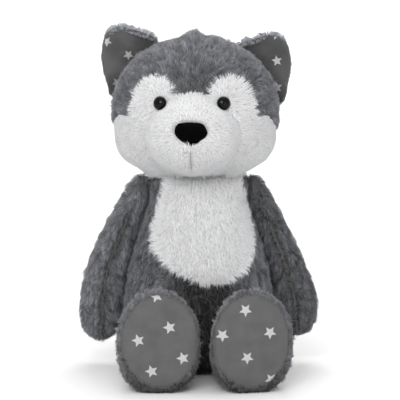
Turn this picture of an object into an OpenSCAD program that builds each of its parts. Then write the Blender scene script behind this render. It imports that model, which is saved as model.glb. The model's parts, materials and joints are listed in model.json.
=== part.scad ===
// Seated plush husky pup: sewn fur panels over fibre filling, a pellet bag in the seat,
// star-print soles and ear linings, safety eyes and nose with locking washers.
// Millimetres. +Z up, the dog faces -Y, the origin is the middle of the flat seat.

/* [Fabric] */
// Thickness of a fur panel: backing cloth and pressed pile
pile = 3; // [2:0.5:4]
// Thickness of the star-print cotton on soles and ears
print_cloth = 1.5; // [1:0.5:2]
// Gap between pieces that move against each other
play = 0.8; // [0.5:0.1:1.2]

/* [Head] */
// Half width of the skull, side to side
skull_x = 67; // [62:1:72]
// Radius of the skull seen from the side
skull_r = 59; // [55:1:62]
// Height of the skull centre above the seat
skull_z = 214; // [212:1:218]
// How far the skull centre sits in front of the neck
skull_y = 10; // [6:1:12]
// Radius of the muzzle dome
muzzle_r = 34; // [33:1:36]
// Reach of the muzzle dome, front to back, from its own centre
muzzle_reach = 44; // [38:1:46]
// Radius of each cheek
cheek_r = 33; // [28:1:35]
// Turn of the head as it sits, about the neck
head_turn = -3; // [-8:1:8]
// Sideways seat of the head on the neck
head_shift = -2.25; // [-4:0.25:4]

/* [Face] */
// Diameter of each eye button
eye_d = 11; // [9:0.5:14]
// Half the distance between the eyes
eye_x = 25; // [22:1:28]
// Height of the eyes above the seat
eye_z = 222; // [218:1:226]
// Radius of each white eye patch
patch_r = 20; // [16:1:22]
// Width of the nose
nose_w = 25; // [20:1:28]

/* [Ears] */
// Roundness of an ear's corners
ear_round = 14; // [12:0.5:16]
// How far up from their mean height the left and right ear are sewn
ear_set = [3, -3.5]; // [-5:0.5:5]
// Radius of the cupped face of an ear
ear_cup = 70; // [60:1:90]

/* [Torso] */
// Widest radius of the torso
torso_r = 62; // [58:1:64]
// Height of the shoulders' turning axis
shoulder_z = 143; // [141:1:145]

/* [Arms] */
// Radius of an arm at its paw
paw_r = 17.4; // [14:0.2:18]
// How far the middle of the left and right arm bends in towards the torso
arm_sway = [0, 2.5]; // [0:0.5:3]
// How much slimmer the middle of the left and right arm is
arm_slim = [0, 2]; // [0:0.5:2]
// How much higher the left and right paw end than in the plain arm
arm_short = [0, 4]; // [0:0.5:5]

/* [Legs] */
// Radius of the ball at the top of a leg
hip_r = 20; // [18:1:21]
// Half the width of a foot
foot_a = 33; // [29:1:34]
// Half the height of a foot
foot_b = 40.5; // [34:0.5:42]
// Distance from hip to the edge of the sole
leg_reach = 61; // [54:1:66]
// Outward turn of the left and right leg
leg_turn = [1, 10]; // [0:1:12]

/* [Tail] */
// Length of the tail from its root ball
tail_length = 58; // [40:1:70]

/* [Hidden] */

grey_fur = "#66686c";
white_fur = "#e9ecee";
star_cloth = "#6b6b6c";
fibre = "#f4f4f1";
black_plastic = "#0b0b0d";
thread = "#b9bcc0";

big = 400;                       // reaches past every part
sides = 24;                      // sides of a limb's cross-section
neck = [0, -2, 154];             // centre of the neck ball
neck_r = 14;
hip = [31, -64, hip_r + 0.3];    // centre of the right hip ball
tail_root = [0, 69, 34];
tail_ball = 9;
tail_rise = 24;                  // the tail's lean above level
shoulder_x = 28;                 // floor of the shoulder recess
shoulder_r = 15.5;               // radius of the shoulder recess
seam_disc_r = 9;
seam_disc_h = 1.4;
cheek_at = [30, -14, 192];
muzzle_at = [0, -44, 198];
patch_at = [32, 0, 224];
white_top = 205;                 // upper edge of the white cheeks
white_back = 14;                 // rear edge of the white cheeks
chin_half = 16;                  // half the width of the chin panel
eye_turn = 20;                   // outward turn of an eye button
eye_tilt = 8;                    // upward turn of an eye button
eye_sink = 0.9;                  // depth of a button's rim in the pile
shank_r = 2;
shank_h = 11;
washer_r = 6;
washer_h = 1.6;
nose_at = [0, -86, 200];
ear_at = [56, -64, 252];         // centre of the ear's sphere, ahead of the ear
ear_corners = [[62, 267.5], [61.5, 238], [44, 262]];  // centres of the rounded corners: tip, outer, inner
thread_r = 0.6;
neck_thread_r = 0.5;
mouth_mid = 24;                  // how far below the muzzle's axis the mouth stitch has its middle
mouth_span = 33;                 // the angle that the mouth stitch covers
slit_stitches = 8;
slit_pitch = 4;
slit_foot = 84;                  // height of the lowest closing stitch
slit_half = 2;                   // half the length of one closing stitch

torso_top = 152;

// Torso outline, bottom to top, as [radius, height] with the widest radius as 1
torso_shape = [[0.70, 0], [0.87, 5], [0.965, 16], [1, 32], [1, 46], [0.97, 62], [0.915, 82],
    [0.825, 100], [0.74, 118], [0.655, 133], [0.60, 141], [0.55, 147], [0.44, 150.5], [0.24, torso_top]];

// Belly panel outline: half widths from the top down to its rounded foot
belly_shape = [[31, 158], [35.5, 140], [39, 125], [42, 107],
    [40.5, 96], [35, 87], [24, 79.5], [11, 74.5]];
belly_x = 2;                     // the panel sits a little to the dog's left
belly_foot = 73;                 // height of the panel's lowest point

// Arm centreline [x, z] and radius as a share of the paw's, shoulder to paw
arm_shape = [[45.8, 155.2, 0.14], [46, 154, 0.27], [46.6, 151.5, 0.40], [48.2, 146.5, 0.51], [52.5, 137, 0.63],
    [60.8, 120, 0.72], [68, 102, 0.81], [74.5, 84, 0.9], [78.5, 65, 0.985], [80.5, 49, 1],
    [81.5, 36, 0.9], [82, 27.5, 0.68], [82, 22, 0.36], [82, 20.2, 0.12]];

// Leg rings: [distance forward of the hip, half width, half height]
leg_shape = [[-0.98 * hip_r, 0.2 * hip_r, 0.2 * hip_r], [-0.85 * hip_r, 0.527 * hip_r, 0.527 * hip_r],
    [-0.6 * hip_r, 0.8 * hip_r, 0.8 * hip_r], [-0.3 * hip_r, 0.954 * hip_r, 0.954 * hip_r],
    [0, hip_r, hip_r], [0.25 * leg_reach, 1.06 * hip_r, 1.04 * hip_r],
    [0.44 * leg_reach, 1.2 * hip_r, 1.14 * hip_r],
    [0.61 * leg_reach, 0.84 * foot_a, 0.68 * foot_b], [0.75 * leg_reach, 0.92 * foot_a, 0.84 * foot_b],
    [0.87 * leg_reach, 0.98 * foot_a, 0.95 * foot_b], [0.94 * leg_reach, foot_a, foot_b],
    [0.985 * leg_reach, 0.955 * foot_a, 0.96 * foot_b]];
foot_square = 0.8;               // how square the underside of a foot is: 1 is an oval
fill_gap = 0.2;                  // play between a leg's panel and its filling
sole_a = 28;
sole_b = 34.8;
sole_depth = 2.5;

// Tail rings: [distance from the root, radius]
tail_shape = [[-0.94 * tail_ball, 0.34 * tail_ball], [-0.7 * tail_ball, 0.71 * tail_ball], [0, tail_ball],
    [0.2 * tail_length, 10.5], [0.45 * tail_length, 12.5], [0.68 * tail_length, 12.5],
    [0.86 * tail_length, 9.5], [0.96 * tail_length, 5.5], [tail_length, 2]];

// ---- Shape functions -------------------------------------------------------

// Right half of an oval, bottom to top: half width a, half height b
function half_oval(a, b, n = 16) = [for (i = [0:n]) let (t = 180 * i / n - 90)
    [i % n == 0 ? 0 : a * cos(t), b * sin(t)]];

// Triangles that join ring k to ring k+1, for m points a ring
function band(k, m) = [for (i = [0:m - 1]) let (j = (i + 1) % m)
    each [[k * m + i, k * m + j, (k + 1) * m + j], [k * m + i, (k + 1) * m + j, (k + 1) * m + i]]];

// A solid through a list of rings with the same number of points, closed at both ends
module loft(rings) {
    m = len(rings[0]);
    n = len(rings);
    polyhedron(points = [for (r = rings) each r],
        faces = concat([[for (i = [m - 1:-1:0]) i]], [for (k = [0:n - 2]) each band(k, m)],
            [[for (i = [0:m - 1]) (n - 1) * m + i]]));
}

// A cup whose outer and inner rings meet at its mouth
module cup(outer, inner) {
    m = len(outer[0]);
    n = len(outer) + len(inner);
    back = [for (k = [len(inner) - 1:-1:0]) inner[k]];
    polyhedron(points = [for (r = concat(outer, back)) each r],
        faces = concat([[for (i = [m - 1:-1:0]) i]], [for (k = [0:n - 2]) each band(k, m)],
            [[for (i = [0:m - 1]) (n - 1) * m + i]]));
}

module turned_about(p, angles) { translate(p) rotate(angles) translate(-p) children(); }

module on_side(s) { mirror([s < 0 ? 1 : 0, 0, 0]) children(); }

// ---- Head ------------------------------------------------------------------

module head_pose() { turned_about(neck, [0, 0, head_turn]) translate([head_shift, 0, 0]) children(); }

// The skull is a rounded solid turned about the ear-to-ear axis
module skull(grow = 0) {
    translate([0, -skull_y, skull_z]) rotate([0, 90, 0]) rotate_extrude($fn = 72)
        polygon(half_oval(skull_r + grow, skull_x + grow, 18));
}

module cheeks(grow = 0) {
    for (s = [-1, 1]) translate([s * cheek_at.x, cheek_at.y, cheek_at.z])
        sphere(r = cheek_r + grow, $fn = 64);
}

module muzzle_dome(grow = 0) {
    translate(muzzle_at) rotate([90, 0, 0]) rotate_extrude($fn = 72)
        polygon(half_oval(muzzle_r + grow, muzzle_reach + grow, 16));
}

module neck_socket() { translate(neck - [head_shift, 0, 0]) sphere(r = neck_r + play, $fn = 48); }

module head_inside() { skull(-pile); cheeks(-pile); muzzle_dome(-pile); }

// The fur shell of the skull and cheeks, without the muzzle
module head_shell() {
    difference() {
        union() { skull(); cheeks(); }
        head_inside();
        muzzle_dome();
        neck_socket();
    }
}

module white_zone(x0, x1) { translate([x0, -big, 0]) cube([x1 - x0, big + white_back, white_top]); }

module patch_prism(s) {
    translate([s * patch_at.x, -20, patch_at.z]) rotate([90, 0, 0]) cylinder(r = patch_r, h = big, $fn = 48);
}

// Where the front of the skull is, at a place across and a height
function skull_front(x, z) = let (ring = skull_r * sqrt(1 - pow(x / skull_x, 2)))
    -skull_y - sqrt(pow(ring, 2) - pow(z - skull_z, 2));

module eye_pose(s) {
    translate([s * eye_x, skull_front(eye_x, eye_z) + eye_sink, eye_z])
        rotate([0, 0, s * eye_turn]) rotate([90 - eye_tilt, 0, 0]) children();
}

module eye_shank(s, grow = 0) {
    eye_pose(s) translate([0, 0, -shank_h]) cylinder(r = shank_r + grow, h = shank_h + 1, $fn = 24);
}

module eye_washer(s, grow = 0) {
    eye_pose(s) translate([0, 0, -pile - washer_h - 2.2 - grow])
        cylinder(r = washer_r + grow, h = washer_h + 2 * grow, $fn = 32);
}

module eye_button(s) {
    eye_pose(s) intersection() {
        translate([0, 0, -1.5]) sphere(r = eye_d / 2 + 0.2, $fn = 40);
        translate([0, 0, 0.2]) cylinder(r = eye_d / 2, h = eye_d, $fn = 40);
    }
}

module eye_holes() { for (s = [-1, 1]) { eye_shank(s, 0.05); eye_button(s); } }

module nose_shank(grow = 0) {
    translate(nose_at) rotate([-90, 0, 0]) cylinder(r = shank_r + grow, h = shank_h + 6, $fn = 24);
}

module nose_plate(grow = 0) {
    translate(nose_at + [0, 8 - grow, 0]) rotate([-90, 0, 0])
        cylinder(r = washer_r + 2 + grow, h = washer_h + 2 * grow, $fn = 32);
}

// A soft triangle, wide at the top, that bulges forward
module nose_form() {
    w = nose_w / 2;
    translate(nose_at) hull() {
        for (s = [-1, 1]) translate([s * (w - 6), 0.5, 2.4]) sphere(r = 6, $fn = 24);
        translate([0, -1.2, 2]) sphere(r = 6.8, $fn = 24);
        translate([0, 1.5, -5.2]) sphere(r = 4, $fn = 24);
    }
}

module crown(s) {
    color(grey_fur) head_pose() difference() {
        intersection() {
            head_shell();
            translate([s < 0 ? -big : 0, -big, 0]) cube([big, 2 * big, big]);
        }
        white_zone(-big, big);
        for (side = [-1, 1]) patch_prism(side);
        eye_holes();
    }
}

module eye_patch(s) {
    color(white_fur) head_pose() difference() {
        intersection() { head_shell(); patch_prism(s); }
        white_zone(-big, big);
        eye_holes();
    }
}

module cheek(s) {
    color(white_fur) head_pose() intersection() {
        head_shell();
        if (s < 0) white_zone(-big, -chin_half); else white_zone(chin_half, big);
    }
}

module chin_panel() {
    color(white_fur) head_pose() intersection() { head_shell(); white_zone(-chin_half, chin_half); }
}

module muzzle_panel() {
    color(white_fur) head_pose() difference() {
        muzzle_dome();
        head_inside();
        neck_socket();
        nose_shank(0.05);
        nose_form();
        eye_holes();
    }
}

module head_filling() {
    color(fibre) head_pose() difference() {
        head_inside();
        neck_socket();
        for (s = [-1, 1]) { eye_shank(s, 0.05); eye_washer(s, 0.05); }
        nose_shank(0.05);
        nose_plate(0.05);
        nose_form();
    }
}

module eye(s) { color(black_plastic) head_pose() { eye_button(s); eye_shank(s); } }

module eye_lock(s) { color(fibre) head_pose() difference() { eye_washer(s); eye_shank(s, 0.05); } }

module nose() { color(black_plastic) head_pose() { nose_form(); nose_shank(); } }

module nose_washer() { color(fibre) head_pose() difference() { nose_plate(); nose_shank(0.05); } }

// One thread down the middle of the muzzle, from under the nose to the chin. It follows
// the circle that fits the dome's outline at the middle of the stitch.
module mouth_stitch() {
    along = muzzle_reach * cos(mouth_mid);
    down = muzzle_r * sin(mouth_mid);
    slope = [muzzle_r * cos(mouth_mid), muzzle_reach * sin(mouth_mid)];
    fit_r = pow(norm(slope), 3) / (muzzle_r * muzzle_reach);
    centre = [along, down] - fit_r * slope / norm(slope);
    color(thread) head_pose() translate([0, muzzle_at.y - centre.x, muzzle_at.z - centre.y])
        rotate([-90, 0, -90]) rotate([0, 0, atan2(slope.y, slope.x) - mouth_span / 2])
            rotate_extrude(angle = mouth_span, $fn = 96)
                translate([fit_r + thread_r + 0.1, 0]) circle(r = thread_r, $fn = 16);
}

// ---- Ears ------------------------------------------------------------------

module ear_outline() { hull() for (c = ear_corners) translate(c) circle(r = ear_round, $fn = 48); }

module ear_layer(s, r0, r1) {
    head_pose() on_side(s) difference() {
        translate([0, 0, ear_set[s < 0 ? 0 : 1]]) intersection() {
            translate(ear_at) difference() {
                sphere(r = r1, $fn = 96);
                sphere(r = r0, $fn = 96);
            }
            translate([0, big / 4, 0]) rotate([90, 0, 0]) linear_extrude(height = big / 2)
                ear_outline();
            translate([0, -40, 0]) cube([big, big, big]);
        }
        skull(2);
        muzzle_dome(2);
    }
}

module ear_back(s) { color(grey_fur) ear_layer(s, ear_cup - pile, ear_cup); }

module ear_lining(s) { color(star_cloth) ear_layer(s, ear_cup - pile - print_cloth, ear_cup - pile); }

// ---- Torso -----------------------------------------------------------------

module torso_form(grow = 0) {
    rotate_extrude($fn = 96) polygon(concat([[0, -grow]],
        [for (p = torso_shape) [p[0] * torso_r + grow, max(-grow, min(p[1], torso_top + grow))]],
        [[0, torso_top + grow]]));
}

// What is cut from the torso for the limbs, the neck and the tail
module limb_recesses() {
    for (s = [-1, 1]) {
        translate([s * shoulder_x, 0, shoulder_z]) rotate([0, s * 90, 0])
            cylinder(r = shoulder_r, h = big, $fn = 48);
        translate([s * hip.x, hip.y, hip.z]) sphere(r = hip_r + play, $fn = 48);
    }
    translate(neck) sphere(r = neck_r + play, $fn = 48);
    translate(tail_root) sphere(r = tail_ball + play, $fn = 40);
}

module torso_shell() {
    difference() {
        torso_form();
        torso_form(-pile);
        limb_recesses();
    }
}

module belly_prism() {
    n = len(belly_shape);
    translate([belly_x, -8, 0]) rotate([90, 0, 0]) linear_extrude(height = big)
        polygon(concat(belly_shape, [[0, belly_foot]],
            [for (i = [n - 1:-1:0]) [-belly_shape[i][0], belly_shape[i][1]]]));
}

module above_seat() { translate([-big, -big, pile]) cube([2 * big, 2 * big, big]); }

module belly_panel() { color(white_fur) intersection() { torso_shell(); belly_prism(); } }

module back_panel(s) {
    color(grey_fur) difference() {
        intersection() {
            torso_shell();
            above_seat();
            translate([s < 0 ? -big : 0, -big, 0]) cube([big, 2 * big, big]);
        }
        belly_prism();
    }
}

module seat_panel() { color(grey_fur) difference() { torso_form(); above_seat(); limb_recesses(); } }

module pellet_form(grow = 0) {
    translate([0, 4, 17]) rotate_extrude($fn = 64) polygon(half_oval(36 + grow, 12 + grow, 14));
}

module torso_filling() {
    color(fibre) difference() {
        torso_form(-pile);
        limb_recesses();
        pellet_form();
    }
}

module pellet_bag() { color("tan") pellet_form(); }

// The torso's radius at a height
function torso_at(z) = lookup(z, [for (p = torso_shape) [p[1], p[0] * torso_r]]);

// The hand-closed slit in the middle of the back: short threads across the seam
module closing_stitch() {
    color(thread) for (i = [0:slit_stitches - 1]) let (z = slit_foot + slit_pitch * i)
        translate([-slit_half, torso_at(z) + thread_r + 0.15, z]) rotate([0, 90, 0])
            cylinder(r = thread_r, h = 2 * slit_half, $fn = 16);
}

// The thread that draws the neck in, and the groove that it makes round the neck ball
module neck_ring(grow = 0) {
    translate(neck) rotate_extrude($fn = 64)
        translate([neck_r + 0.1, 0]) circle(r = neck_thread_r + grow, $fn = 16);
}

module neck_filling() {
    color(fibre) difference() {
        translate(neck) sphere(r = neck_r, $fn = 48);
        neck_ring(0.08);
    }
}

module neck_thread() { color(thread) neck_ring(); }

// ---- Arms ------------------------------------------------------------------

// The upper part of an arm is bent and slimmed most at its middle, between these heights
arm_low = 49;
arm_high = 157;

// A paw is drawn up between these heights, most at the lower one
paw_foot = 20;
paw_top = 75;
function paw_share(z) = 1 - min(max((z - paw_foot) / (paw_top - paw_foot), 0), 1);
function arm_share(z) = sin(180 * min(max((z - arm_low) / (arm_high - arm_low), 0), 1));

// The centreline [x, z] and radius of the arm on side s
function arm_line(s) = let (k = s < 0 ? 0 : 1) [for (p = arm_shape)
    [p[0] - arm_sway[k] * arm_share(p[1]), p[1] + arm_short[k] * paw_share(p[1]),
        p[2] * paw_r - arm_slim[k] * arm_share(p[1])]];

function arm_r(line, i, inset) = max(line[i][2] - inset, 0.35 * line[i][2]);

// The tilt of a centreline at a ring, from upright
function arm_tilt(line, i) = let (a = line[max(i - 1, 0)], b = line[min(i + 1, len(line) - 1)])
    atan2(b[0] - a[0], a[1] - b[1]);

// A point on ring i at angle t: 0 faces outward, 90 faces forward
function arm_point(line, i, t, inset) = let (r = arm_r(line, i, inset), g = arm_tilt(line, i), c = line[i])
    [c[0] + r * cos(t) * cos(g), -r * sin(t), c[1] + r * cos(t) * sin(g)];

// Half of an arm's fur: the outer half starts at -90 degrees, the inner half at 90
function arm_half_ring(line, i, start) = concat(
    [for (k = [0:sides / 2]) arm_point(line, i, start + 360 * k / sides, 0)],
    [for (k = [sides / 2:-1:0]) arm_point(line, i, start + 360 * k / sides, pile)]);

// The end of a half shell, as a strip of quads between its outer and inner edges
function strip(m, at) = [for (k = [0:m / 2 - 2]) [at + k, at + k + 1, at + m - 2 - k, at + m - 1 - k]];

function flipped(faces) = [for (f = faces) [for (i = [len(f) - 1:-1:0]) f[i]]];

module arm_half(s, start) {
    n = len(arm_shape);
    m = sides + 2;
    color(grey_fur) on_side(s) polyhedron(
        points = [for (i = [0:n - 1]) each arm_half_ring(arm_line(s), i, start)],
        faces = concat(flipped(strip(m, 0)), [for (k = [0:n - 2]) each band(k, m)], strip(m, (n - 1) * m)));
}

module arm_filling(s) {
    color(fibre) on_side(s) loft([for (i = [0:len(arm_shape) - 1])
        [for (k = [0:sides - 1]) arm_point(arm_line(s), i, 360 * k / sides - 90, pile)]]);
}

// The bunched seam allowance where an arm is sewn to the side of the torso
module shoulder_seam(s) {
    color(grey_fur) on_side(s) translate([shoulder_x + 0.3, 0, shoulder_z]) rotate([0, 90, 0])
        cylinder(r = seam_disc_r, h = seam_disc_h, $fn = 40);
}

// ---- Legs ------------------------------------------------------------------

module leg_pose(s) {
    translate([s * hip.x, hip.y, hip.z]) rotate([0, 0, s < 0 ? -leg_turn[0] : leg_turn[1]]) children();
}

// The foot's underside stays level with the leg's, so a taller ring has a higher centre.
// A foot's ring is squarer below than above.
function leg_ring(y, a, b, drop) = [for (k = [0:sides - 1])
    let (t = 360 * k / sides, e = drop > hip_r && sin(t) < 0 ? foot_square : 1)
    [a * sign(cos(t)) * pow(abs(cos(t)), e), -y, (drop - hip_r) + b * sign(sin(t)) * pow(abs(sin(t)), e)]];

function leg_outer() = concat([for (p = leg_shape) leg_ring(p[0], p[1], p[2], max(p[2], hip_r))],
    [leg_ring(leg_reach + 0.5, sole_a, sole_b, foot_b)]);

// The hollow of a leg, smaller all round by the gap
function leg_inner(gap) = concat([for (p = leg_shape)
    leg_ring(min(max(p[0], -hip_r + 1.8 * pile), leg_reach - sole_depth) - (p[0] > 0 ? 0 : 0.1 * p[0]),
        max(p[1] - pile, 1) - gap, max(p[2] - pile, 1) - gap, max(p[2], hip_r))],
    [leg_ring(leg_reach + 0.5 - sole_depth, sole_a - gap, sole_b - gap, foot_b)]);

module leg_panel(s) { color(grey_fur) leg_pose(s) cup(leg_outer(), leg_inner(0)); }

module leg_filling(s) { color(fibre) leg_pose(s) loft(leg_inner(fill_gap)); }

module sole(s) {
    y = leg_reach + 0.5;
    color(star_cloth) leg_pose(s) loft([
        leg_ring(y - sole_depth, sole_a, sole_b, foot_b), leg_ring(y, sole_a, sole_b, foot_b),
        leg_ring(y + 1.3, 0.78 * sole_a, 0.78 * sole_b, foot_b),
        leg_ring(y + 2, 0.4 * sole_a, 0.4 * sole_b, foot_b)]);
}

// ---- Tail ------------------------------------------------------------------

module tail_pose() { translate(tail_root) rotate([tail_rise, 0, 0]) rotate([-90, 0, 0]) children(); }

module tail_form(inset = 0) {
    rotate_extrude($fn = 48) polygon(concat([[0, tail_shape[0][0] + inset]],
        [for (p = tail_shape) [max(p[1] - inset, 0.5),
            min(max(p[0], tail_shape[0][0] + inset), tail_length - inset)]],
        [[0, tail_length - inset]]));
}

module tail_panel() { color(grey_fur) tail_pose() difference() { tail_form(); tail_form(pile); } }

module tail_filling() { color(fibre) tail_pose() tail_form(pile); }

// ---- Nodes -----------------------------------------------------------------

torso_filling();
pellet_bag();
belly_panel();
back_panel(-1);  // back_panel_left
back_panel(1);  // back_panel_right
seat_panel();
closing_stitch();
neck_filling();
neck_thread();
head_filling();
crown(-1);  // crown_left
crown(1);  // crown_right
eye_patch(-1);  // eye_patch_left
eye_patch(1);  // eye_patch_right
cheek(-1);  // cheek_left
cheek(1);  // cheek_right
chin_panel();
muzzle_panel();
mouth_stitch();
nose();
nose_washer();
eye(-1);  // eye_left
eye(1);  // eye_right
eye_lock(-1);  // eye_washer_left
eye_lock(1);  // eye_washer_right
ear_back(-1);  // ear_back_left
ear_back(1);  // ear_back_right
ear_lining(-1);  // ear_lining_left
ear_lining(1);  // ear_lining_right
shoulder_seam(-1);  // shoulder_seam_left
shoulder_seam(1);  // shoulder_seam_right
arm_half(-1, -90);  // arm_outer_left
arm_half(1, -90);  // arm_outer_right
arm_half(-1, 90);  // arm_inner_left
arm_half(1, 90);  // arm_inner_right
arm_filling(-1);  // arm_filling_left
arm_filling(1);  // arm_filling_right
leg_panel(-1);  // leg_panel_left
leg_panel(1);  // leg_panel_right
sole(-1);  // sole_left
sole(1);  // sole_right
leg_filling(-1);  // leg_filling_left
leg_filling(1);  // leg_filling_right
tail_panel();
tail_filling();
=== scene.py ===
import json
import math
from dataclasses import dataclass

import bmesh
import bpy
import numpy as np
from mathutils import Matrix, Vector
from mathutils.bvhtree import BVHTree
from mathutils.kdtree import KDTree


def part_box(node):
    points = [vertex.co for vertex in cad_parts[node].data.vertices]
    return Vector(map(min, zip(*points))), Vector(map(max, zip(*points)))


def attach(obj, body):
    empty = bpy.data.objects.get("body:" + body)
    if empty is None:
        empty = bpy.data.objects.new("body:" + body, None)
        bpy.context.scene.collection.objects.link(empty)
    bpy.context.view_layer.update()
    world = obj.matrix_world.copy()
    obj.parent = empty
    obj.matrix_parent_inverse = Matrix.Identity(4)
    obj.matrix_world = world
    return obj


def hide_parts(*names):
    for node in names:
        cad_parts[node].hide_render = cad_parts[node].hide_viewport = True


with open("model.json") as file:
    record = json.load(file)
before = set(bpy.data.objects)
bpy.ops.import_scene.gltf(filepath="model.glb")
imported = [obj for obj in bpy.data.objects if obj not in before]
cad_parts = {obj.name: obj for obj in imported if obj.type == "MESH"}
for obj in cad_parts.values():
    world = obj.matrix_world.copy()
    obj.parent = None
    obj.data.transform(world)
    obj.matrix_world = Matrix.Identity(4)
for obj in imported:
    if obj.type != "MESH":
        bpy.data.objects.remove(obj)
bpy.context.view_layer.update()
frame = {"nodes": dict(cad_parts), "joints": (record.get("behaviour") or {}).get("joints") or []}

# A seated plush husky pup. Every sewn panel is a cloth piece cut from a smooth skin that is
# wrapped round its body's CAD solids, and the furred panels carry a coat of small closed
# tufts. Lengths are in millimetres until a mesh is made.

MM = 0.001
SIDES = (("left", -1), ("right", 1))
UP = np.array([0.0, 0.0, 1.0])

# ---- Small helpers ----


def unit(v):
    v = np.asarray(v, float)
    return v / np.maximum(np.linalg.norm(v, axis=-1, keepdims=True), 1e-9)


def dot(a, b):
    return (a * b).sum(axis=-1)


def box_mm(node):
    low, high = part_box(node)
    return np.array(low) / MM, np.array(high) / MM


def centre_mm(node):
    low, high = box_mm(node)
    return (low + high) / 2


def joint_mm(name):
    return next(np.array(j["pos_m"]) / MM for j in frame["joints"] if j["name"] == name)


def ripple(p, size, seed, waves=10):
    """Smooth noise from about -1 to 1, with lumps of about that size"""
    rng = np.random.default_rng(seed)
    way = unit(rng.normal(size=(waves, 3))) * rng.uniform(0.7, 1.5, (waves, 1))
    phase = rng.uniform(0, 2 * math.pi, waves)
    return np.sin(p @ way.T * (math.pi / size) + phase).sum(axis=1) / math.sqrt(waves)


def smooth_step(x, low, high):
    t = np.clip((x - low) / (high - low), 0, 1)
    return t * t * (3 - 2 * t)


def fade(x, low, high):
    """1 up to low and 0 from high on"""
    return 1 - smooth_step(x, low, high)


def bell(x, width):
    return np.exp(-((x / width) ** 2))


def new_object(name, data):
    ob = bpy.data.objects.new(name, data)
    bpy.context.scene.collection.objects.link(ob)
    return ob


# ---- The head's own frame ----
# The eyes give it: x runs from one to the other, and they sit at this height.

EYE_HEIGHT = 222
eye_middle = (centre_mm("eye_left") + centre_mm("eye_right")) / 2
head_right = centre_mm("eye_right") - centre_mm("eye_left")
head_right[2] = 0
head_right = unit(head_right)
head_back = np.cross(UP, head_right)
head_axes = np.array([head_right, head_back, UP])
HEAD_FRONT = -64.0  # where the eyes sit, front to back, in the head's own frame
head_origin = eye_middle - head_axes.T @ np.array([0, HEAD_FRONT, EYE_HEIGHT])


def in_head(p):
    return (p - head_origin) @ head_axes.T


def out_of_head(p):
    return np.asarray(p, float) @ head_axes + head_origin


def turn_out(v):
    return v @ head_axes


NOSE = in_head(centre_mm("nose"))  # its middle, in the head's own frame


# ---- Materials ----


class Looks:
    """A Principled material and the nodes that feed it"""

    def __init__(self, name, **values):
        self.mat = bpy.data.materials.new(name)
        self.mat.use_nodes = True
        self.tree = self.mat.node_tree
        self.shader = self.tree.nodes["Principled BSDF"]
        for socket, value in values.items():
            self.shader.inputs[socket.replace("_", " ")].default_value = value

    def add(self, kind, inputs=None, **settings):
        node = self.tree.nodes.new(kind)
        for key, value in settings.items():
            setattr(node, key, value)
        for key, value in (inputs or {}).items():
            if isinstance(value, bpy.types.NodeSocket):
                self.tree.links.new(value, node.inputs[key])
            else:
                node.inputs[key].default_value = value
        return node

    def feed(self, socket, name):
        self.tree.links.new(socket, self.shader.inputs[name])

    def maths(self, operation, a, b=0.0, c=0.0):
        return self.add("ShaderNodeMath", {0: a, 1: b, 2: c}, operation=operation).outputs[0]

    def where(self):
        return self.add("ShaderNodeTexCoord").outputs["Object"]

    def reach(self, way):
        """How far a place lies along a way, by its dot product with it (per mm)"""
        node = self.add("ShaderNodeVectorMath", {0: self.where(), 1: tuple(way / MM)},
                        operation="DOT_PRODUCT")
        return node.outputs["Value"]

    def noise(self, scale, detail=3.0, roughness=0.5):
        return self.add("ShaderNodeTexNoise", {"Vector": self.where(), "Scale": scale, "Detail": detail,
                                               "Roughness": roughness}).outputs["Fac"]

    def blend(self, factor, low, high):
        mix = self.add("ShaderNodeMix", {0: factor, 6: low, 7: high}, data_type="RGBA")
        return mix.outputs[2]

    def ramp(self, value, low, high):
        return self.add("ShaderNodeMapRange", {0: value, 1: low, 2: high}).outputs[0]

    def bump(self, height, strength, distance):
        node = self.add("ShaderNodeBump", {"Height": height, "Strength": strength,
                                           "Distance": distance})
        self.feed(node.outputs["Normal"], "Normal")


def grey(level, warmth=0.0):
    return (level * (1 + 0.3 * warmth), level, level * (1 - warmth), 1)


def weave(looks, pitch):
    """Height of a plain weave: threads of that pitch (m) run along two ways"""
    parts = looks.add("ShaderNodeSeparateXYZ", {0: looks.where()})
    across, deep, up = (looks.maths("SINE", looks.maths("MULTIPLY", parts.outputs[k], 2 * math.pi / pitch))
                        for k in range(3))
    return looks.maths("ADD", looks.maths("MULTIPLY", across, up), looks.maths("MULTIPLY", deep, 0.3))


def backing_cloth(name, dark, light):
    """The knitted cloth that the pile grows from: its own colour, painted darker than the pile as painted
    shade deep under the fur
    """
    looks = Looks(name, Roughness=0.95, Sheen_Weight=0.2, Sheen_Roughness=0.6)
    mottle = looks.ramp(looks.noise(160, 5, 0.6), 0.3, 0.7)
    looks.feed(looks.blend(mottle, grey(dark), grey(light)), "Base Color")
    looks.bump(looks.maths("ADD", weave(looks, 0.0012), looks.noise(900)), 0.6, 0.0006)
    return looks.mat


STAR_PITCH = 26.3  # from star to star of the printed cotton
STAR_RADIUS = 5.2
STAR_WAIST = 0.46  # radius of a star's inner corners, as a share of its points'


def square_steps(turn):
    """The two steps, [across, up] in mm, from star to star of a flat print turned by degrees"""
    cos, sin = math.cos(math.radians(turn)), math.sin(math.radians(turn))
    return STAR_PITCH * np.array([[cos, sin], [-sin, cos]])


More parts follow.
